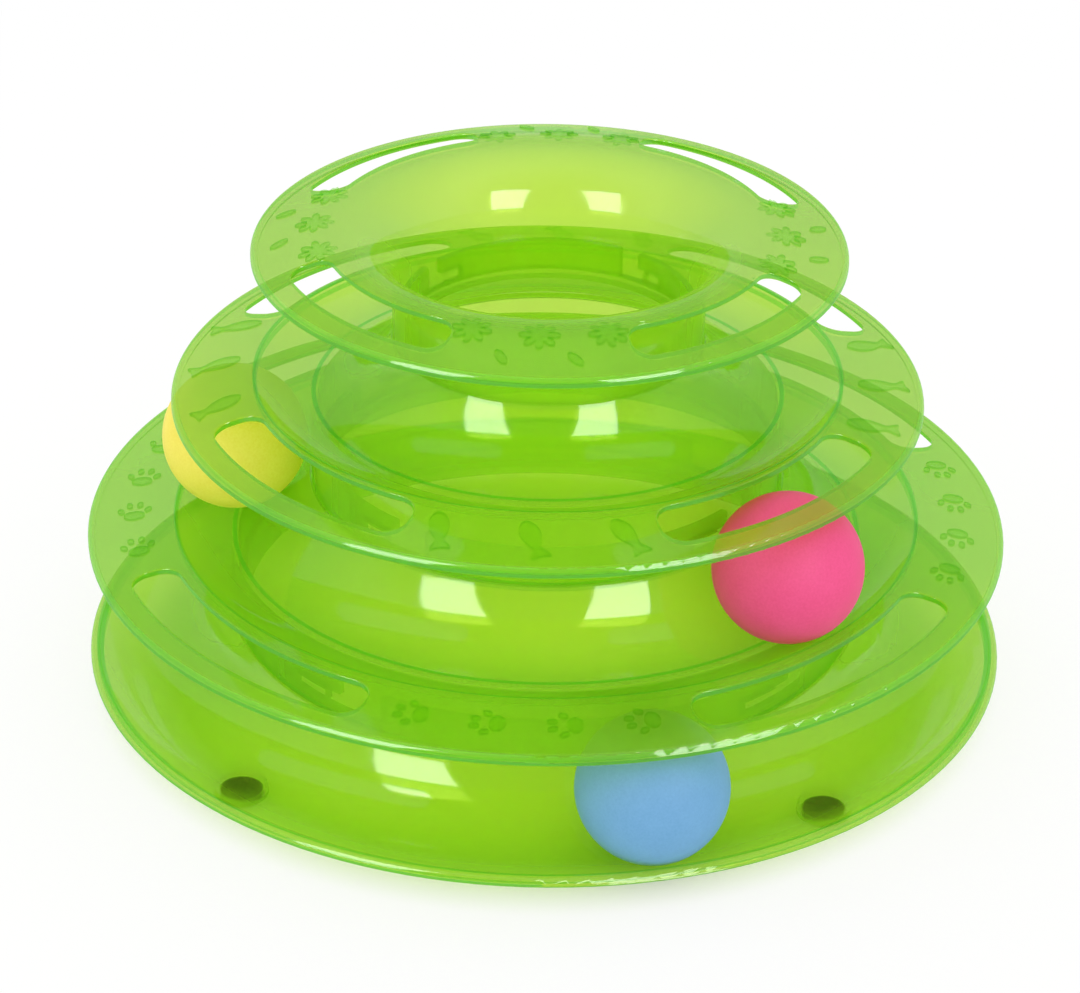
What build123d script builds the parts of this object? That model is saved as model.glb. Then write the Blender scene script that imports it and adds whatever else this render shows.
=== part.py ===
"""Cat ball track toy: a tower of four moulded rings, with balls that roll in the tracks between them.

The toy stands on the table at Z = 0, with its axis on Z and its front towards -Y. Lengths are millimetres.
Each ring is a thin wall of revolution. Its skirt sits over the spigot of the ring below, on a shoulder,
and lugs inside the skirt turn into L-shaped slots of the spigot.
"""

import math
import os

from build123d import *

# Moulding
wall = 1.8
edge_round = 0.4
cut_overrun = 5.0

# Balls
ball_diameter = 39.0
ball_wall = 1.6
ball_gap = 0.3
blue_azimuth = -73.0
pink_azimuth = -41.0
yellow_azimuth = 175.5

# Tracks: each trough is round in section, and a little wider than its ball
neck_radius = 40.9
trough_clearance = 2.5
trough_reach = 14.6
skirt_inset = 0.3

# Room above a ball, up to the underside of the next ring's ridge
base_headroom = 2.3
lower_headroom = 5.0
upper_headroom = 5.3

# Flanges and their turned-down lips: each rim reaches out past the ridge of the ring below
lower_rim_overhang = 1.8
upper_rim_overhang = 0.2
top_rim_overhang = 0.3
base_flange_drop = 0.1
lower_flange_drop = 2.9
upper_flange_drop = 4.5
top_flange_slope = 13.5
ridge_round = 0.6
lip_inner_radius = 0.2
lip_land = 0.4
lip_round = 0.35
base_rim_land = 0.4
funnel_radius = 17.5

# Paw slots through the flanges, given by the bands of flange that they leave
slot_rim_margin = 7.0
lower_slot_ridge_margin = 3.7
upper_slot_ridge_margin = 1.5
top_slot_ridge_margin = 2.6
slot_corner_share = 0.42
lower_slot_span = 46.0
upper_slot_span = 47.5
top_slot_span = 49.5

# Twist locks
shoulder_height = 16.0
spigot_height = 9.4
spigot_clearance = 0.3
seat_gap = 0.3
lug_height = 3.2
lug_lift = 1.8
lug_clearance = 0.4
lug_proud = 0.4
lug_span = 8.0
lug_play = 0.6
twist_span = 12.0

# Feet
foot_diameter = 10.8
foot_proud = 1.5
foot_grip = 1.2
foot_round = 0.5
foot_clearance = 0.3
foot_ring_wall = 1.3
foot_ring_share = 0.8

# The four diagonals carry the paw slots, the twist locks and the feet
diagonals = {"front_right": -45.0, "back_right": 45.0, "back_left": 135.0, "front_left": -135.0}

# Sizes that follow
ball_radius = ball_diameter / 2
trough_radius = ball_radius + trough_clearance
trough_rise = trough_radius - math.sqrt(trough_radius**2 - trough_reach**2)
ring_step = trough_radius - skirt_inset
upper_track_radius = neck_radius + ring_step
lower_track_radius = upper_track_radius + ring_step
base_track_radius = lower_track_radius + ring_step

base_floor = foot_proud + foot_grip + wall
ball_room = ball_gap + ball_diameter + wall - trough_rise
lower_floor = base_floor + ball_room + base_headroom
upper_floor = lower_floor + ball_room + lower_headroom
top_height = upper_floor + ball_gap + ball_diameter + upper_headroom + wall

lip_radius = wall + lip_inner_radius
lip_drop = lip_radius + lip_land
base_flange_width = lip_radius + base_rim_land
base_ridge_radius = base_track_radius + trough_reach
lower_ridge_radius = lower_track_radius + trough_reach
upper_ridge_radius = upper_track_radius + trough_reach
top_ridge_radius = neck_radius - wall + funnel_radius
lower_rim_radius = base_ridge_radius + lower_rim_overhang
upper_rim_radius = lower_ridge_radius + upper_rim_overhang
top_rim_radius = upper_ridge_radius + top_rim_overhang
lower_flange_width = lower_rim_radius - lower_ridge_radius
upper_flange_width = upper_rim_radius - upper_ridge_radius

shoulder_angle = 180 + math.degrees(math.asin((trough_radius - shoulder_height) / trough_radius))
ridge_angle = 270 + math.degrees(math.asin(trough_reach / trough_radius))
shoulder_reach = math.sqrt(trough_radius**2 - (trough_radius - shoulder_height) ** 2)
ledge_depth = trough_radius - shoulder_height + wall
ledge_reach = math.sqrt((trough_radius + wall) ** 2 - ledge_depth**2)

foot_height = foot_proud + foot_grip
foot_ring_radius = foot_diameter / 2 + foot_clearance + foot_ring_wall

# The lock slots, as heights above the shoulder and as angles from the lug's own azimuth when locked
slot_low = lug_lift - lug_clearance
slot_high = lug_lift + lug_height + lug_clearance
slot_mouth = spigot_height + cut_overrun
slot_start = -lug_span / 2 - lug_play
slot_width = lug_span + 2 * lug_play


def track_wall(track_radius, floor, flange_width, flange_drop):
    """Half section of one track's wall: trough, ridge, flange and turned-down lip."""
    centre = (track_radius, floor + trough_radius)
    ridge = (track_radius + trough_reach, floor + trough_rise)
    rim = (ridge[0] + flange_width, ridge[1] - flange_drop)
    lip_end = (rim[0], rim[1] - lip_drop)
    lip_middle = (rim[0] - wall / 2, lip_end[1])
    with BuildSketch() as section:
        with BuildLine():
            CenterArc(centre, trough_radius, shoulder_angle, ridge_angle - shoulder_angle)
            FilletPolyline(ridge, rim, lip_end, radius=lip_radius)
            offset(amount=wall, side=Side.RIGHT)
        make_face()
        fillet(section.vertices().sort_by_distance(ridge)[:1], ridge_round)
        fillet(section.vertices().sort_by_distance(lip_middle)[:2], lip_round)
    return section.sketch


def spigot_wall(track_radius, floor):
    """Half section of the shoulder under the next ring's skirt, and of the spigot inside that skirt."""
    shoulder = floor + shoulder_height
    outside = track_radius - ring_step - wall - spigot_clearance
    inside = outside - wall
    with BuildSketch() as section:
        with BuildLine():
            Polyline(
                (track_radius - shoulder_reach, shoulder),
                (outside, shoulder),
                (outside, shoulder + spigot_height),
                (inside, shoulder + spigot_height),
                (inside, shoulder - wall),
                (track_radius - ledge_reach, shoulder - wall),
                close=True,
            )
        make_face()
    return section.sketch


def skirt_wall(radius, floor_below, floor):
    """Half section of a skirt that hangs from a trough down to the shoulder of the ring below."""
    bottom = floor_below + shoulder_height + seat_gap
    top = floor - wall / 2
    with BuildSketch() as section:
        with BuildLine():
            Polyline(
                (radius - wall, bottom),
                (radius, bottom),
                (radius, top),
                (radius - wall, top),
                close=True,
            )
        make_face()
    return section.sketch


def funnel_wall():
    """Half section of the top ring: neck, rolled-over funnel, flange and lip."""
    slope = math.radians(top_flange_slope)
    bore = neck_radius - wall
    centre = (top_ridge_radius, top_height - funnel_radius)
    neck_end = (bore, upper_floor + shoulder_height + seat_gap)
    crown = (centre[0] + funnel_radius * math.sin(slope), centre[1] + funnel_radius * math.cos(slope))
    rim = (top_rim_radius, crown[1] - (top_rim_radius - crown[0]) * math.tan(slope))
    lip_end = (rim[0], rim[1] - lip_drop)
    lip_middle = (rim[0] - wall / 2, lip_end[1])
    with BuildSketch() as section:
        with BuildLine():
            Line(neck_end, (bore, centre[1]))
            CenterArc(centre, funnel_radius, 180, -90 - top_flange_slope)
            FilletPolyline(crown, rim, lip_end, radius=lip_radius)
            offset(amount=wall, side=Side.RIGHT)
        make_face()
        fillet(section.vertices().sort_by_distance(lip_middle)[:2], lip_round)
    return section.sketch


def paw_slots(ridge_radius, rim_radius, ridge_margin, span):
    """Plan of the four curved slots in a flange."""
    outer_radius = rim_radius - slot_rim_margin
    inner_radius = ridge_radius + ridge_margin
    with BuildSketch() as plan:
        for azimuth in diagonals.values():
            with BuildLine():
                outer = CenterArc((0, 0), outer_radius, azimuth - span / 2, span)
                inner = CenterArc((0, 0), inner_radius, azimuth - span / 2, span)
                Line(outer @ 0, inner @ 0)
                Line(outer @ 1, inner @ 1)
            make_face()
        fillet(plan.vertices(), slot_corner_share * (outer_radius - inner_radius))
    return plan.sketch


def diagonal_planes(turn):
    """Upright planes through the axis, one for each diagonal, turned on by an angle."""
    return [Plane.XZ.rotated((0, 0, azimuth + turn)) for azimuth in diagonals.values()]


def lock_band(track_radius, floor, low, high):
    """Half section across the spigot's wall, between two heights above its shoulder."""
    shoulder = floor + shoulder_height
    outside = track_radius - ring_step - wall / 2
    inside = track_radius - ring_step - 2 * wall - spigot_clearance - lug_proud
    with BuildSketch() as section:
        with BuildLine():
            Polyline(
                (inside, shoulder + low),
                (outside, shoulder + low),
                (outside, shoulder + high),
                (inside, shoulder + high),
                close=True,
            )
        make_face()
    return section.sketch


os.makedirs("parts", exist_ok=True)

# Base tray: the widest trough, with a ring under it for each foot
with BuildPart() as base_tray:
    with BuildSketch(Plane.XY.offset(foot_proud)):
        with PolarLocations(base_track_radius, len(diagonals), start_angle=diagonals["front_right"]):
            Circle(foot_ring_radius)
    extrude(amount=foot_grip + wall * foot_ring_share)
    with BuildSketch(Plane.XY.offset(foot_proud)):
        with PolarLocations(base_track_radius, len(diagonals), start_angle=diagonals["front_right"]):
            Circle(foot_diameter / 2 + foot_clearance)
    extrude(amount=foot_grip, mode=Mode.SUBTRACT)
    with BuildSketch(Plane.XZ):
        add(track_wall(base_track_radius, base_floor, base_flange_width, base_flange_drop))
        add(spigot_wall(base_track_radius, base_floor))
    revolve(axis=Axis.Z)
    with BuildSketch(*diagonal_planes(slot_start)):
        add(lock_band(base_track_radius, base_floor, slot_low, slot_high))
    revolve(axis=Axis.Z, revolution_arc=twist_span + slot_width, mode=Mode.SUBTRACT)
    with BuildSketch(*diagonal_planes(slot_start + twist_span)):
        add(lock_band(base_track_radius, base_floor, slot_low, slot_mouth))
    revolve(axis=Axis.Z, revolution_arc=slot_width, mode=Mode.SUBTRACT)
base_tray.part.label = "base_tray"
export_step(base_tray.part, "parts/base_tray.step")

# Middle rings: each is the roof of the track below it and carries a track of its own
middle_rings = {
    "lower_track_ring": {
        "below": (base_track_radius, base_floor),
        "track": (lower_track_radius, lower_floor),
        "flange": (lower_flange_width, lower_flange_drop),
        "slots": (lower_ridge_radius, lower_rim_radius, lower_slot_ridge_margin, lower_slot_span),
    },
    "upper_track_ring": {
        "below": (lower_track_radius, lower_floor),
        "track": (upper_track_radius, upper_floor),
        "flange": (upper_flange_width, upper_flange_drop),
        "slots": (upper_ridge_radius, upper_rim_radius, upper_slot_ridge_margin, upper_slot_span),
    },
}
for ring_name, sizes in middle_rings.items():
    track_radius, floor = sizes["track"]
    flange_width, flange_drop = sizes["flange"]
    floor_below = sizes["below"][1]
    with BuildPart() as ring:
        with BuildSketch(Plane.XZ):
            add(track_wall(track_radius, floor, flange_width, flange_drop))
            add(spigot_wall(track_radius, floor))
            add(skirt_wall(track_radius, floor_below, floor))
        revolve(axis=Axis.Z)
        with BuildSketch(*diagonal_planes(-lug_span / 2)):
            add(lock_band(*sizes["below"], lug_lift, lug_lift + lug_height))
        revolve(axis=Axis.Z, revolution_arc=lug_span)
        with BuildSketch(*diagonal_planes(slot_start)):
            add(lock_band(track_radius, floor, slot_low, slot_high))
        revolve(axis=Axis.Z, revolution_arc=twist_span + slot_width, mode=Mode.SUBTRACT)
        with BuildSketch(*diagonal_planes(slot_start + twist_span)):
            add(lock_band(track_radius, floor, slot_low, slot_mouth))
        revolve(axis=Axis.Z, revolution_arc=slot_width, mode=Mode.SUBTRACT)
        with BuildSketch(Plane.XY.offset(floor + trough_rise)):
            add(paw_slots(*sizes["slots"]))
        extrude(amount=-flange_drop - wall - cut_overrun, mode=Mode.SUBTRACT)
        fillet(ring.edges(Select.LAST).filter_by(Axis.Z, reverse=True), edge_round)
    ring.part.label = ring_name
    export_step(ring.part, "parts/" + ring_name + ".step")

# Top ring: roof of the third track, rolled over into an open neck
with BuildPart() as top_ring:
    with BuildSketch(Plane.XZ):
        add(funnel_wall())
    revolve(axis=Axis.Z)
    with BuildSketch(*diagonal_planes(-lug_span / 2)):
        add(lock_band(upper_track_radius, upper_floor, lug_lift, lug_lift + lug_height))
    revolve(axis=Axis.Z, revolution_arc=lug_span)
    with BuildSketch(Plane.XY.offset(top_height)):
        add(paw_slots(top_ridge_radius, top_rim_radius, top_slot_ridge_margin, top_slot_span))
    extrude(amount=-funnel_radius, mode=Mode.SUBTRACT)
    fillet(top_ring.edges(Select.LAST).filter_by(Axis.Z, reverse=True), edge_round)
top_ring.part.label = "top_ring"
export_step(top_ring.part, "parts/top_ring.step")

# Rubber feet, pressed up into their rings
for corner, azimuth in diagonals.items():
    turn = math.radians(azimuth)
    foot_plane = Plane(origin=(base_track_radius * math.cos(turn), base_track_radius * math.sin(turn), 0))
    with BuildPart() as foot:
        with BuildSketch(foot_plane):
            Circle(foot_diameter / 2)
        extrude(amount=foot_height)
        fillet(foot.edges().group_by(Axis.Z)[0], foot_round)
    foot.part.label = "foot_" + corner
    export_step(foot.part, "parts/foot_" + corner + ".step")

# Hollow balls, each resting in its trough
balls = {
    "blue_ball": (base_track_radius, base_floor, blue_azimuth),
    "pink_ball": (lower_track_radius, lower_floor, pink_azimuth),
    "yellow_ball": (lower_track_radius, lower_floor, yellow_azimuth),
}
for ball_name, (track_radius, floor, azimuth) in balls.items():
    turn = math.radians(azimuth)
    height = floor + ball_gap + ball_radius
    ball_plane = Plane(origin=(track_radius * math.cos(turn), track_radius * math.sin(turn), height))
    with BuildPart(ball_plane) as ball:
        Sphere(ball_radius)
        Sphere(ball_radius - ball_wall, mode=Mode.SUBTRACT)
    ball.part.label = ball_name
    export_step(ball.part, "parts/" + ball_name + ".step")
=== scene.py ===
"""Looks of the cat ball track toy: clear green rings with moulded ornaments, dull balls and rubber feet."""

import math

import bmesh
import bpy
from mathutils import Matrix, Vector
from mathutils.bvhtree import BVHTree


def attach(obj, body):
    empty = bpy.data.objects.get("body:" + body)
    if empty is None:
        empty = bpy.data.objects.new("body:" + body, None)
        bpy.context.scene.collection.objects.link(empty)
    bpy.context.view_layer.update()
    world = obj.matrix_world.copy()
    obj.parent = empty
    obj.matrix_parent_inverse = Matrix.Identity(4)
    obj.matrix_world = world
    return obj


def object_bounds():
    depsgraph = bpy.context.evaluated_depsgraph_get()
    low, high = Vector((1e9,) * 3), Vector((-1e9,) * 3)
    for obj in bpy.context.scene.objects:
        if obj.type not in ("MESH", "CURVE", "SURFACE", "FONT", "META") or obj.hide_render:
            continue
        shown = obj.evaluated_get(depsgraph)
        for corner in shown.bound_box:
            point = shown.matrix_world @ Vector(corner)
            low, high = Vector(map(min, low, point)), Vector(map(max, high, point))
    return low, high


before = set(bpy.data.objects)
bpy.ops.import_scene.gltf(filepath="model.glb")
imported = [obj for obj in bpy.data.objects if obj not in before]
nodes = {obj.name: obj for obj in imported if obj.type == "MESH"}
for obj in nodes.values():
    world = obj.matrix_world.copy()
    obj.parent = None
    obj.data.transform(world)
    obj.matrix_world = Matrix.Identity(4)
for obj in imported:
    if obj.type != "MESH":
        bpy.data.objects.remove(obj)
cad_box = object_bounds()

MM = 0.001

# Camera, as it stood in front of the toy: degrees, and distances from the point that it looks at
VIEW_AZIMUTH = 2.0
VIEW_ELEVATION = 28.877
VIEW_ROLL = 0.807
VIEW_DISTANCE = 1094.6 * MM
VIEW_TARGET = Vector((0.0, 0.0, 50.0 * MM))
TARGET_LEFT = 1.67 * MM
PHOTO_WIDTH_PX = 1080
FOCAL_PX = 4087.3
SENSOR_WIDTH_MM = 36.0
CLIP_START = 10.0 * MM
CLIP_END = 20000.0 * MM

# Two softboxes: azimuth from the front in degrees, positive towards +X
SOFTBOX_AZIMUTHS = {"left": -40.0, "right": 35.0}
SOFTBOX_DISTANCE = 450.0 * MM
SOFTBOX_HEIGHT = 290.0 * MM
SOFTBOX_AIM = Vector((0.0, 0.0, 70.0 * MM))
SOFTBOX_SIZE = (220.0 * MM, 380.0 * MM)
SOFTBOX_WATTS = 2.2

# White surround: its light, and how bright glossy faces mirror it in front of the toy and behind it, changing
# between those shares of the way to the front
WHITE = (1.0, 1.0, 1.0, 1.0)
FILL_LEVEL = 1.10
GLOSS_FRONT = 0.10
GLOSS_BACK = 0.7
GLOSS_FRONT_SHARE = 0.75
GLOSS_BACK_SHARE = 0.1

# Floor: all of the shadow shows under the toy, and less of it further out
PAPER = (0.95, 0.95, 0.95, 1.0)
FLOOR_HALF = 3000.0 * MM
FLOOR_DROP = 0.1 * MM
SHADOW_SHARE = 0.2
SHADOW_FAR = 500.0 * MM
FOOTPRINT_INNER = 100.0 * MM
FOOTPRINT_OUTER = 130.0 * MM

# Green plastic, in linear colours: what scatters in the wall and what goes through a face, each at both ends
# of the moulding's flow, then both darker as painted shade at cut edges, and how much scatters from a slant
# to a grazing view
GREEN = {
    "body": ((0.45, 0.865, 0.05, 1.0), (0.525, 0.905, 0.065, 1.0)),
    "tint": ((0.90, 0.965, 0.40, 1.0), (0.93, 0.975, 0.46, 1.0)),
    "edge_shade_body": (0.16, 0.66, 0.06, 1.0),
    "edge_shade_tint": (0.30, 0.74, 0.22, 1.0),
    "opacity": (0.34, 0.58),
}
# Raised ornaments the same way, with painted shade on their upright sides
RELIEF = {
    "body": ((0.30, 0.85, 0.10, 1.0), (0.34, 0.88, 0.11, 1.0)),
    "tint": ((0.92, 0.99, 0.88, 1.0), (0.94, 0.992, 0.90, 1.0)),
    "edge_shade_body": (0.30, 0.80, 0.08, 1.0),
    "edge_shade_tint": (0.68, 0.89, 0.54, 1.0),
    "opacity": (0.02, 0.10),
}
RELIEF_SLANT = (0.86, 0.975, 0.83, 1.0)
GREEN_GLOW = (0.505, 0.895, 0.05, 1.0)
GREEN_GLOW_SHARE = 0.5
FACING_BLEND = 0.25
SLANT_SHARE = 0.3
GRAZING_SHARE = 0.7
TRANSPARENT_BOUNCES = 64

# What a face leaves of the light that goes on to other surfaces: more, since walls also pass it on sideways
LIT_TINT = (1.0, 1.0, 0.53, 1.0)

# Its gloss, its scuffs from smoothest to roughest, and the orange peel of the mould. Each noise has a scale
# and a detail
PLASTIC_GLOSS = {
    "IOR": 1.8,
    "Specular IOR Level": 1.0,
    "Coat Weight": 1.0,
    "Coat Roughness": 0.03,
    "Coat IOR": 1.6,
}
NOISE_ROUGHNESS = 0.55
FLOW_NOISE = (16.0, 3.0)
FLOW_SHARES = (0.35, 0.65)
SCUFF_NOISE = (90.0, 6.0)
SCUFF_SHARES = (0.3, 0.7)
SCUFF_ROUGHNESS = (0.05, 0.14)
PEEL_NOISE = (420.0, 2.0)
PEEL_STRENGTH = 0.012
PEEL_HEIGHT = 0.2 * MM

# Each ring's tint at a slant, deeper in the larger mouldings. Then, measured in from its rim, where the
# painted shade of its cut edges begins and the painted shade lines on it, with their half width: its ridge,
# and its skirt under the trough
RINGS = {
    "base_tray": ((0.66, 0.81, 0.40, 1.0), 3.5 * MM, (2.6 * MM, 0.9 * MM)),
    "lower_track_ring": ((0.60, 0.79, 0.39, 1.0), 23.0 * MM, (23.5 * MM, 0.5 * MM), (39.0 * MM, 0.6 * MM)),
    "upper_track_ring": ((0.70, 0.83, 0.43, 1.0), 21.4 * MM, (21.9 * MM, 0.5 * MM), (37.4 * MM, 0.6 * MM)),
    "top_ring": ((0.71, 0.83, 0.44, 1.0), 19.0 * MM),
}
UPRIGHT_SHARE = 0.18

# Rims of the rings that overhang: a painted glow along a line near the edge, for light from inside the wall
LIT_RIMS = ("lower_track_ring", "upper_track_ring", "top_ring")
RIM_INSET = 0.6 * MM
RIM_HALF = 0.5 * MM
RIM_GLOW_OPACITY = 0.4
RIM_GLOW_COLOUR = (0.35, 1.0, 0.12, 1.0)

# Balls and feet: darkest and palest colour of the grain, then its scale, roughness and depth
BALL_COLOURS = {
    "blue_ball": ((0.15, 0.37, 0.63, 1.0), (0.175, 0.41, 0.68, 1.0)),
    "pink_ball": ((0.83, 0.075, 0.235, 1.0), (0.88, 0.09, 0.27, 1.0)),
    "yellow_ball": ((0.91, 0.77, 0.10, 1.0), (0.96, 0.83, 0.15, 1.0)),
}
BALL_GRAIN = (1500.0, (0.55, 0.75), 0.08 * MM)
FEET = ("foot_front_right", "foot_back_right", "foot_back_left", "foot_front_left")
RUBBER_COLOURS = ((0.010, 0.010, 0.010, 1.0), (0.028, 0.028, 0.027, 1.0))
RUBBER_GRAIN = (2500.0, (0.5, 0.7), 0.05 * MM)

# Both are dull. Their colour follows the grain and, in part, a coarser cloud
DULL_GLOSS = {
    "Specular IOR Level": 0.2,
    "Sheen Weight": 0.03,
    "Sheen Roughness": 0.5,
}
GRAIN_DETAIL = 4.0
GRAIN_STRENGTH = 0.35
GRAIN_SHARES = (0.3, 0.7)
CLOUD_DETAIL = 2.0
CLOUD_COARSENESS = 12
CLOUD_SHARE = 0.3
CLOUDED_SHARES = (0.36, 0.64)

# Moulded ornaments: how far they stand proud of a flange and how deep they are rooted in it
PROUD = 0.5 * MM
ROOT = 0.25 * MM
TOP = cad_box[1].z
CAST_FROM = TOP + ROOT

# Rows of them, a group at each quarter of a flange: count, degrees between them, and distance in from its rim
GROUPS = (-90.0, 0.0, 90.0, 180.0)
FLOWER_ROW = (3, 16.0, 16.5 * MM)
LEAF_ROW = (2, 15.0, 7.5 * MM)
FISH_ROW = (3, 15.3, 11.1 * MM)
PAW_ROW = (4, 10.0, 12.4 * MM)

# Their sizes, across and outward, and how they lean in degrees
MIDDLE = (0.0, 0.0)
FLOWER_SIZE = 10.4 * MM
FLOWER_PETALS = 8
FLOWER_HEART_SHARE = 0.44
PETAL_POWER = 0.8
PETAL_POINTS = 12
OVAL_POINTS = 24
LEAF_SIZE = (2.4 * MM, 5.6 * MM)
LEAF_LEAN = 35.0
FISH_LENGTH = 14.5 * MM
FISH_LEAN = 20.0
PAD_SIZE = (4.0 * MM, 5.6 * MM)
PAD_PLACE = (2.2 * MM, 0.0)
TOE_SIZE = (2.6 * MM, 1.7 * MM)
TOE_PLACES = (
    (-0.6 * MM, -3.6 * MM),
    (-3.4 * MM, -1.4 * MM),
    (-3.4 * MM, 1.4 * MM),
    (-0.6 * MM, 3.6 * MM),
)
TOE_LEANS = (-28.0, -10.0, 10.0, 28.0)

# One side of a fish from nose to tail, as shares of its length outward and across, the notch of its tail and
# its narrow place. Its corners are cut twice, each time by a share of the way to the next point
FISH_SIDE_SHARES = (
    (-0.5, 0.0),
    (-0.38, 0.13),
    (-0.18, 0.19),
    (0.05, 0.15),
    (0.24, 0.05),
    (0.36, 0.13),
    (0.5, 0.2),
)
FISH_NOTCH_SHARES = (0.43, 0.0)
FISH_WAIST_SHARES = (0.24, 0.0)
CORNER_ROUNDS = 2
CORNER_SHARE = 0.25

# Sockets of Blender's Mix node, which has one set of inputs for numbers and one for colours
MIX_FACTOR = 0
MIX_NUMBERS = (2, 3)
MIX_COLOURS = (6, 7)
MIX_NUMBER_OUT = 0
MIX_COLOUR_OUT = 2


def link(tree, source, target):
    tree.links.new(source, target)


def node(tree, kind, **settings):
    """New shader node with its properties and unlinked inputs set."""
    made = tree.nodes.new(kind)
    for key, value in settings.items():
        if key in made.inputs:
            made.inputs[key].default_value = value
        else:
            setattr(made, key, value)
    return made


def blank_material(name):
    material = bpy.data.materials.new(name)
    material.use_nodes = True
    material.node_tree.nodes.clear()
    return material, material.node_tree


def shown(tree, shader, kind="ShaderNodeOutputMaterial"):
    """Let a shader be what the surface shows."""
    out = node(tree, kind)
    link(tree, shader.outputs[0], out.inputs["Surface"])


def noise(tree, coordinates, scale, detail):
    made = node(tree, "ShaderNodeTexNoise", Scale=scale, Detail=detail, Roughness=NOISE_ROUGHNESS)
    link(tree, coordinates.outputs["Object"], made.inputs["Vector"])
    return made.outputs["Fac"]


def ramp(tree, value, shares, colours):
    """Two colours, blended as value goes from the first share to the second."""
    made = node(tree, "ShaderNodeValToRGB")
    for element, share, colour in zip(made.color_ramp.elements, shares, colours):
        element.position = share
        element.color = colour
    link(tree, value, made.inputs["Fac"])
    return made.outputs["Color"]


def span(tree, value, low, high, out_low, out_high):
    """Map a value from one range to another."""
    limits = {"From Min": low, "From Max": high, "To Min": out_low, "To Max": out_high}
    made = node(tree, "ShaderNodeMapRange", **limits)
    link(tree, value, made.inputs["Value"])
    return made.outputs["Result"]


def bump(tree, height, strength, distance):
    made = node(tree, "ShaderNodeBump", Strength=strength, Distance=distance)
    link(tree, height, made.inputs["Height"])
    return made.outputs["Normal"]


def calculated(tree, operation, first, second):
    """Two values put together by a mathematical operation."""
    made = node(tree, "ShaderNodeMath", operation=operation)
    link(tree, first, made.inputs[0])
    link(tree, second, made.inputs[1])
    return made.outputs[0]


def blend(tree, mask, colour, other):
    """Colour where the mask is nought and the other one where it is one."""
    made = node(tree, "ShaderNodeMix", data_type="RGBA")
    first, second = MIX_COLOURS
    made.inputs[second].default_value = other
    link(tree, mask, made.inputs[MIX_FACTOR])
    link(tree, colour, made.inputs[first])
    return made.outputs[MIX_COLOUR_OUT]


def either(tree, first, second, mask=None, **settings):
    """The first shader where the mask is nought and the second where it is one, or both by a constant Fac."""
    made = node(tree, "ShaderNodeMixShader", **settings)
    if mask is not None:
        link(tree, mask, made.inputs["Fac"])
    link(tree, first.outputs[0], made.inputs[1])
    link(tree, second.outputs[0], made.inputs[2])
    return made


def plan_radius(tree, coordinates):
    """Distance from the toy's axis."""
    places = node(tree, "ShaderNodeSeparateXYZ")
    link(tree, coordinates.outputs["Object"], places.inputs[0])
    plan = node(tree, "ShaderNodeCombineXYZ")
    link(tree, places.outputs["X"], plan.inputs["X"])
    link(tree, places.outputs["Y"], plan.inputs["Y"])
    radius = node(tree, "ShaderNodeVectorMath", operation="LENGTH")
    link(tree, plan.outputs[0], radius.inputs[0])
    return radius.outputs["Value"]


def line_mask(tree, radius, middle, half):
    """One along a line round the axis, and nought elsewhere."""
    line = node(tree, "ShaderNodeMath", operation="COMPARE")
    line.inputs[1].default_value = middle
    line.inputs[2].default_value = half
    link(tree, radius, line.inputs[0])
    return line.outputs[0]


def edge_shade_mask(tree, coordinates, radius, cut_radius, lines):
    """Mask of the painted shade: one on the cut edges outside a radius and along the lines of a ring, and
    nought elsewhere.
    """
    outside = node(tree, "ShaderNodeMath", operation="GREATER_THAN")
    outside.inputs[1].default_value = cut_radius
    link(tree, radius, outside.inputs[0])
    normals = node(tree, "ShaderNodeSeparateXYZ")
    link(tree, coordinates.outputs["Normal"], normals.inputs[0])
    level = node(tree, "ShaderNodeMath", operation="ABSOLUTE")
    link(tree, normals.outputs["Z"], level.inputs[0])
    upright = span(tree, level.outputs[0], UPRIGHT_SHARE, 2 * UPRIGHT_SHARE, 1.0, 0.0)
    mask = calculated(tree, "MULTIPLY", outside.outputs[0], upright)
    for line in lines:
        mask = calculated(tree, "MAXIMUM", mask, line_mask(tree, radius, *line))
    return mask


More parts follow.
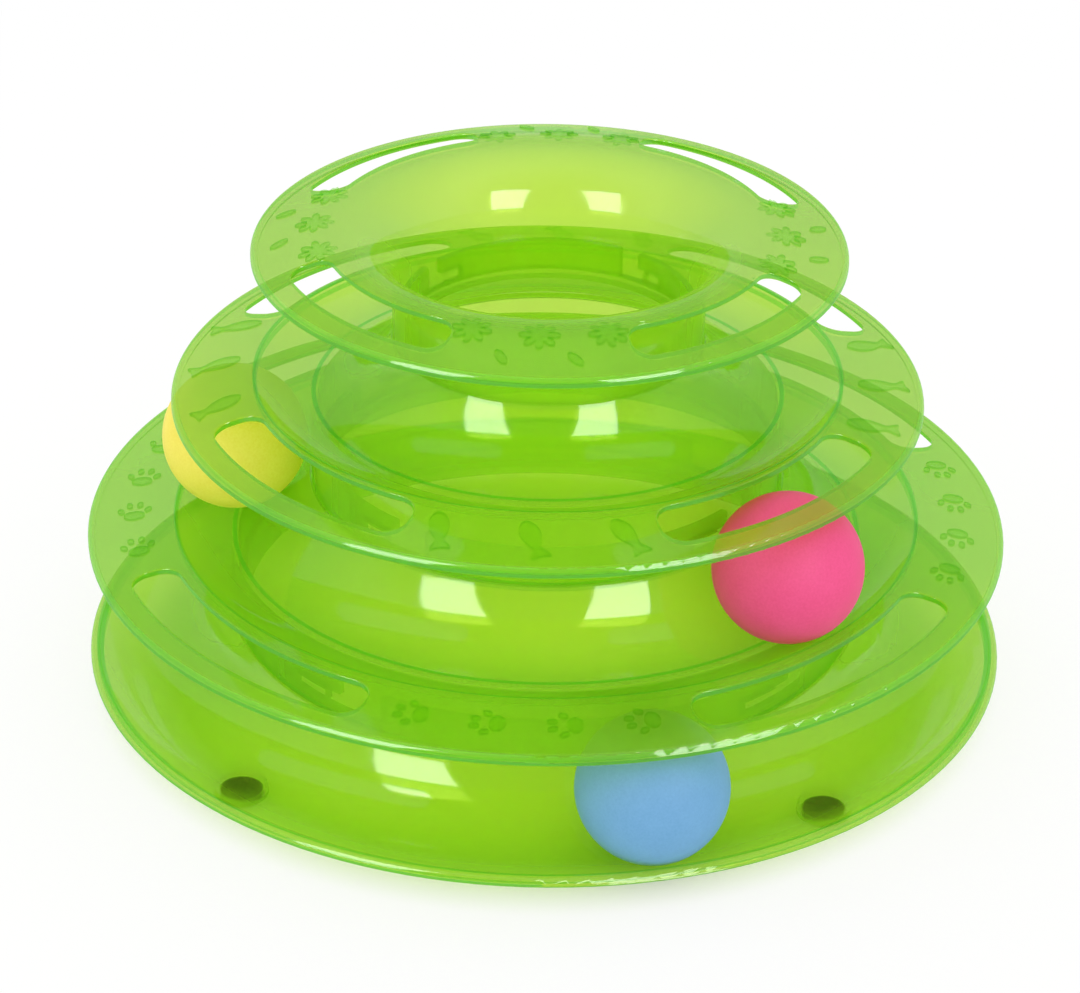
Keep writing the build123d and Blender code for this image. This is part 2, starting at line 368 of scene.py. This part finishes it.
def green_plastic(name, look, slant_tint, cut_radius=0.0, lines=(), lit_rim=None):
    """Clear green moulding: most light goes through and is tinted, and the rest scatters in the wall."""
    material, tree = blank_material(name)
    coordinates = node(tree, "ShaderNodeTexCoord")
    radius = plan_radius(tree, coordinates)
    edge = edge_shade_mask(tree, coordinates, radius, cut_radius, lines)
    flow = noise(tree, coordinates, *FLOW_NOISE)
    slant = node(tree, "ShaderNodeLayerWeight", Blend=FACING_BLEND)
    facing = slant.outputs["Facing"]

    # Painted shade: a darker scatter colour on the cut edges and lines
    body_colour = blend(tree, edge, ramp(tree, flow, FLOW_SHARES, look["body"]), look["edge_shade_body"])
    opacity = span(tree, facing, SLANT_SHARE, GRAZING_SHARE, *look["opacity"])
    # Painted glow: a brighter, more opaque line along the rim
    if lit_rim is not None:
        rim = line_mask(tree, radius, lit_rim - RIM_INSET, RIM_HALF)
        body_colour = blend(tree, rim, body_colour, RIM_GLOW_COLOUR)
        opacity = calculated(tree, "MAXIMUM", opacity, span(tree, rim, 0.0, 1.0, 0.0, RIM_GLOW_OPACITY))

    slanted = span(tree, facing, 0.0, SLANT_SHARE, 0.0, 1.0)
    tint = blend(tree, slanted, ramp(tree, flow, FLOW_SHARES, look["tint"]), slant_tint)
    ray = node(tree, "ShaderNodeLightPath")
    lit = calculated(tree, "MAXIMUM", ray.outputs["Is Diffuse Ray"], ray.outputs["Is Shadow Ray"])
    # Painted shade: a deeper tint on the cut edges and lines
    tint = blend(tree, lit, blend(tree, edge, tint, look["edge_shade_tint"]), LIT_TINT)
    clear = node(tree, "ShaderNodeBsdfTransparent")
    link(tree, tint, clear.inputs["Color"])

    body = node(tree, "ShaderNodeBsdfPrincipled", **PLASTIC_GLOSS)
    scuff = noise(tree, coordinates, *SCUFF_NOISE)
    peel = noise(tree, coordinates, *PEEL_NOISE)
    link(tree, body_colour, body.inputs["Base Color"])
    link(tree, span(tree, scuff, *SCUFF_SHARES, *SCUFF_ROUGHNESS), body.inputs["Roughness"])
    link(tree, bump(tree, peel, PEEL_STRENGTH, PEEL_HEIGHT), body.inputs["Normal"])
    glow = node(tree, "ShaderNodeBsdfTranslucent", Color=GREEN_GLOW)
    scatter = either(tree, body, glow, Fac=GREEN_GLOW_SHARE)
    shown(tree, either(tree, clear, scatter, opacity))
    return material


def grained(name, colours, grain_scale, roughness, relief_depth):
    """Dull, finely grained surface of a ball or a rubber foot."""
    material, tree = blank_material(name)
    coordinates = node(tree, "ShaderNodeTexCoord")
    grain = noise(tree, coordinates, grain_scale, GRAIN_DETAIL)
    cloud = noise(tree, coordinates, grain_scale / CLOUD_COARSENESS, CLOUD_DETAIL)
    clouded = node(tree, "ShaderNodeMath", operation="MULTIPLY_ADD")
    clouded.inputs[1].default_value = CLOUD_SHARE
    link(tree, cloud, clouded.inputs[0])
    link(tree, span(tree, grain, 0.0, 1.0, 0.0, 1 - CLOUD_SHARE), clouded.inputs[2])

    surface = node(tree, "ShaderNodeBsdfPrincipled", **DULL_GLOSS)
    link(tree, ramp(tree, clouded.outputs[0], CLOUDED_SHARES, colours), surface.inputs["Base Color"])
    link(tree, span(tree, grain, *GRAIN_SHARES, *roughness), surface.inputs["Roughness"])
    link(tree, bump(tree, grain, GRAIN_STRENGTH, relief_depth), surface.inputs["Normal"])
    shown(tree, surface)
    return material


def dress(name, material):
    """Give a CAD node its finish."""
    nodes[name].data.materials.clear()
    nodes[name].data.materials.append(material)


def rim_radius(ring):
    """Outer radius of a ring, from its mesh."""
    return max(vertex.co.x for vertex in nodes[ring].data.vertices)


def dress_rings():
    for ring, (slant_tint, cut_inset, *insets) in RINGS.items():
        rim = rim_radius(ring)
        lines = [(rim - inset, half) for inset, half in insets]
        lit_rim = rim if ring in LIT_RIMS else None
        dress(ring, green_plastic(ring, GREEN, slant_tint, rim - cut_inset, lines, lit_rim))


def dress_balls_and_feet():
    for ball, colours in BALL_COLOURS.items():
        dress(ball, grained(ball, colours, *BALL_GRAIN))
    rubber = grained("black_rubber", RUBBER_COLOURS, *RUBBER_GRAIN)
    for foot in FEET:
        dress(foot, rubber)


def surface_height(surface, place):
    """Height of a ring's top surface at a place in plan."""
    where, _, _, _ = surface.ray_cast(Vector((place.x, place.y, CAST_FROM)), Vector((0.0, 0.0, -1.0)))
    return where.z


def plan_place(azimuth, radius, across, outward):
    """Plan position of a point given across and outward from a place on a ring."""
    turn = Matrix.Rotation(math.radians(azimuth), 3, "Z")
    return turn @ Vector((radius + outward, across, 0.0))


def raised(mesh, surface, azimuth, radius, outline, centre):
    """Add a low solid with that outline, standing on a ring's flange."""
    low, high = [], []
    for point in [*outline, centre]:
        place = plan_place(azimuth, radius, *point)
        height = surface_height(surface, place)
        low.append(mesh.verts.new((place.x, place.y, height - ROOT)))
        high.append(mesh.verts.new((place.x, place.y, min(height + PROUD, TOP))))
    under, over = low.pop(), high.pop()
    for i in range(len(outline)):
        j = (i + 1) % len(outline)
        mesh.faces.new((high[i], high[j], over))
        mesh.faces.new((low[j], low[i], under))
        mesh.faces.new((low[i], low[j], high[j], high[i]))


def softened(points):
    """Closed path with its corners cut, again and again."""
    for _ in range(CORNER_ROUNDS):
        cut = []
        for i, (x, y) in enumerate(points):
            next_x, next_y = points[(i + 1) % len(points)]
            for share in (CORNER_SHARE, 1 - CORNER_SHARE):
                cut.append(((1 - share) * x + share * next_x, (1 - share) * y + share * next_y))
        points = cut
    return points


def circle(count):
    return [2 * math.pi * i / count for i in range(count)]


def leaned(across, outward, lean):
    """Across and outward of a point, once it has been turned by an angle in degrees."""
    turn = math.radians(lean)
    turned_across = across * math.cos(turn) + outward * math.sin(turn)
    turned_outward = outward * math.cos(turn) - across * math.sin(turn)
    return turned_across, turned_outward


def flower():
    """Outline of a flower with round petals."""
    outline = []
    for angle in circle(PETAL_POINTS * FLOWER_PETALS):
        petal = abs(math.cos(FLOWER_PETALS / 2 * angle)) ** PETAL_POWER
        reach = FLOWER_SIZE / 2 * (FLOWER_HEART_SHARE + (1 - FLOWER_HEART_SHARE) * petal)
        outline.append((reach * math.sin(angle), reach * math.cos(angle)))
    return outline


def oval(size, middle=MIDDLE, lean=0.0):
    """Outline of an oval, leaning by an angle in degrees."""
    outline = []
    for angle in circle(OVAL_POINTS):
        across, outward = leaned(size[0] / 2 * math.sin(angle), size[1] / 2 * math.cos(angle), lean)
        outline.append((middle[0] + across, middle[1] + outward))
    return outline


def fish():
    """Outline of a fish whose tail points outward, and its narrow place."""
    other_side = [(outward, -across) for outward, across in reversed(FISH_SIDE_SHARES[1:])]
    path = softened([*FISH_SIDE_SHARES, FISH_NOTCH_SHARES, *other_side])
    *outline, waist = [
        leaned(across * FISH_LENGTH, outward * FISH_LENGTH, FISH_LEAN)
        for outward, across in [*path, FISH_WAIST_SHARES]
    ]
    return outline, waist


def paw():
    """Outlines of a paw print, one pad and four toes, and their middles."""
    toes = [(oval(TOE_SIZE, place, lean), place) for place, lean in zip(TOE_PLACES, TOE_LEANS)]
    return [(oval(PAD_SIZE, PAD_PLACE), PAD_PLACE), *toes]


def spread(count, spacing):
    """Azimuths of a row of ornaments, either side of the middle of each group."""
    return [group + (i - (count - 1) / 2) * spacing for group in GROUPS for i in range(count)]


def ornaments(name, body, material, ring, row, shapes):
    """A row of ornaments on a ring's flange, each of one or more outlines with their middles."""
    surface = BVHTree.FromObject(nodes[ring], bpy.context.evaluated_depsgraph_get())
    count, spacing, inset = row
    radius = rim_radius(ring) - inset
    mesh = bmesh.new()
    for azimuth in spread(count, spacing):
        for outline, centre in shapes:
            raised(mesh, surface, azimuth, radius, outline, centre)
    bmesh.ops.recalc_face_normals(mesh, faces=mesh.faces)
    data = bpy.data.meshes.new(name)
    mesh.to_mesh(data)
    mesh.free()
    piece = bpy.data.objects.new(name, data)
    bpy.context.scene.collection.objects.link(piece)
    data.materials.append(material)
    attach(piece, body)


def all_ornaments():
    relief = green_plastic("green_relief", RELIEF, RELIEF_SLANT)
    leaf = oval(LEAF_SIZE, lean=LEAF_LEAN)
    ornaments("top_ring_flowers", "top_ring", relief, "top_ring", FLOWER_ROW, [(flower(), MIDDLE)])
    ornaments("top_ring_leaves", "top_ring", relief, "top_ring", LEAF_ROW, [(leaf, MIDDLE)])
    ornaments("upper_ring_fish", "upper_ring", relief, "upper_track_ring", FISH_ROW, [fish()])
    ornaments("lower_ring_paws", "lower_ring", relief, "lower_track_ring", PAW_ROW, paw())


def floor_material():
    """White paper that keeps the toy's shadow."""
    material, tree = blank_material("floor")
    ray = node(tree, "ShaderNodeLightPath")
    mirrored = calculated(tree, "MAXIMUM", ray.outputs["Is Glossy Ray"], ray.outputs["Is Transmission Ray"])
    seen = calculated(tree, "MAXIMUM", ray.outputs["Is Camera Ray"], mirrored)
    away = plan_radius(tree, node(tree, "ShaderNodeTexCoord"))
    faint = span(tree, away, FOOTPRINT_OUTER, SHADOW_FAR, SHADOW_SHARE, 0.0)
    under = span(tree, away, FOOTPRINT_INNER, FOOTPRINT_OUTER, 1.0, 0.0)
    paper = node(tree, "ShaderNodeBsdfDiffuse", Color=PAPER)
    white = node(tree, "ShaderNodeEmission", Color=WHITE, Strength=1.0)
    shaded = either(tree, white, paper, calculated(tree, "MAXIMUM", faint, under))
    shown(tree, either(tree, paper, shaded, seen))
    return material


def lay_floor():
    mesh = bmesh.new()
    bmesh.ops.create_grid(mesh, x_segments=1, y_segments=1, size=FLOOR_HALF)
    data = bpy.data.meshes.new("floor")
    mesh.to_mesh(data)
    mesh.free()
    data.materials.append(floor_material())
    floor = bpy.data.objects.new("floor", data)
    floor.location.z = -FLOOR_DROP
    bpy.context.scene.collection.objects.link(floor)


def surround():
    """White all round, which glossy faces mirror darker in front of the toy."""
    world = bpy.data.worlds.new("studio")
    world.use_nodes = True
    bpy.context.scene.world = world
    tree = world.node_tree
    tree.nodes.clear()
    first, second = MIX_NUMBERS
    ray = node(tree, "ShaderNodeLightPath")
    direction = node(tree, "ShaderNodeTexCoord")
    parts = node(tree, "ShaderNodeSeparateXYZ")
    link(tree, direction.outputs["Generated"], parts.inputs[0])
    mirrored = span(
        tree, parts.outputs["Y"], -GLOSS_FRONT_SHARE, -GLOSS_BACK_SHARE, GLOSS_FRONT, GLOSS_BACK
    )
    light = node(tree, "ShaderNodeMix", data_type="FLOAT")
    light.inputs[first].default_value = FILL_LEVEL
    link(tree, ray.outputs["Is Glossy Ray"], light.inputs[MIX_FACTOR])
    link(tree, mirrored, light.inputs[second])
    seen = calculated(tree, "MAXIMUM", ray.outputs["Is Camera Ray"], ray.outputs["Is Transmission Ray"])
    strength = node(tree, "ShaderNodeMix", data_type="FLOAT")
    strength.inputs[second].default_value = 1.0
    link(tree, seen, strength.inputs[MIX_FACTOR])
    link(tree, light.outputs[MIX_NUMBER_OUT], strength.inputs[first])
    sky = node(tree, "ShaderNodeBackground", Color=WHITE)
    link(tree, strength.outputs[MIX_NUMBER_OUT], sky.inputs["Strength"])
    shown(tree, sky, "ShaderNodeOutputWorld")


def heading(azimuth, elevation):
    """Unit vector from the toy, with azimuth 0 towards the front."""
    a, e = math.radians(azimuth), math.radians(elevation)
    return Vector((math.sin(a) * math.cos(e), -math.cos(a) * math.cos(e), math.sin(e)))


def softboxes():
    """Lamps that only show as highlights, since the surround lights the toy."""
    for side, azimuth in SOFTBOX_AZIMUTHS.items():
        lamp = bpy.data.lights.new("softbox_" + side, "AREA")
        lamp.shape = "RECTANGLE"
        lamp.size, lamp.size_y = SOFTBOX_SIZE
        lamp.energy = SOFTBOX_WATTS
        box = bpy.data.objects.new("softbox_" + side, lamp)
        box.location = heading(azimuth, 0.0) * SOFTBOX_DISTANCE + Vector((0.0, 0.0, SOFTBOX_HEIGHT))
        box.rotation_euler = (SOFTBOX_AIM - box.location).to_track_quat("-Z", "Y").to_euler()
        box.visible_camera = False
        box.visible_diffuse = False
        box.visible_transmission = False
        bpy.context.scene.collection.objects.link(box)


def camera():
    data = bpy.data.cameras.new("camera")
    data.sensor_width = SENSOR_WIDTH_MM
    data.lens = SENSOR_WIDTH_MM * FOCAL_PX / PHOTO_WIDTH_PX
    data.clip_start = CLIP_START
    data.clip_end = CLIP_END
    eye = bpy.data.objects.new("camera", data)
    back = heading(VIEW_AZIMUTH, VIEW_ELEVATION)
    level = Vector((0.0, 0.0, 1.0)).cross(back).normalized()
    upright = back.cross(level)
    roll = math.radians(VIEW_ROLL)
    right = level * math.cos(roll) + upright * math.sin(roll)
    up = upright * math.cos(roll) - level * math.sin(roll)
    place = VIEW_TARGET + back * VIEW_DISTANCE
    pan = math.atan2(TARGET_LEFT, VIEW_DISTANCE)
    turn = Matrix.Rotation(pan, 3, up)
    axes = (turn @ right, up, turn @ back)
    eye.matrix_world = Matrix.Translation(place) @ Matrix(axes).transposed().to_4x4()
    bpy.context.scene.collection.objects.link(eye)
    bpy.context.scene.camera = eye


dress_rings()
dress_balls_and_feet()
all_ornaments()
lay_floor()
surround()
softboxes()
camera()

scene = bpy.context.scene
scene.view_settings.view_transform = "Standard"
scene.cycles.transparent_max_bounces = TRANSPARENT_BOUNCES
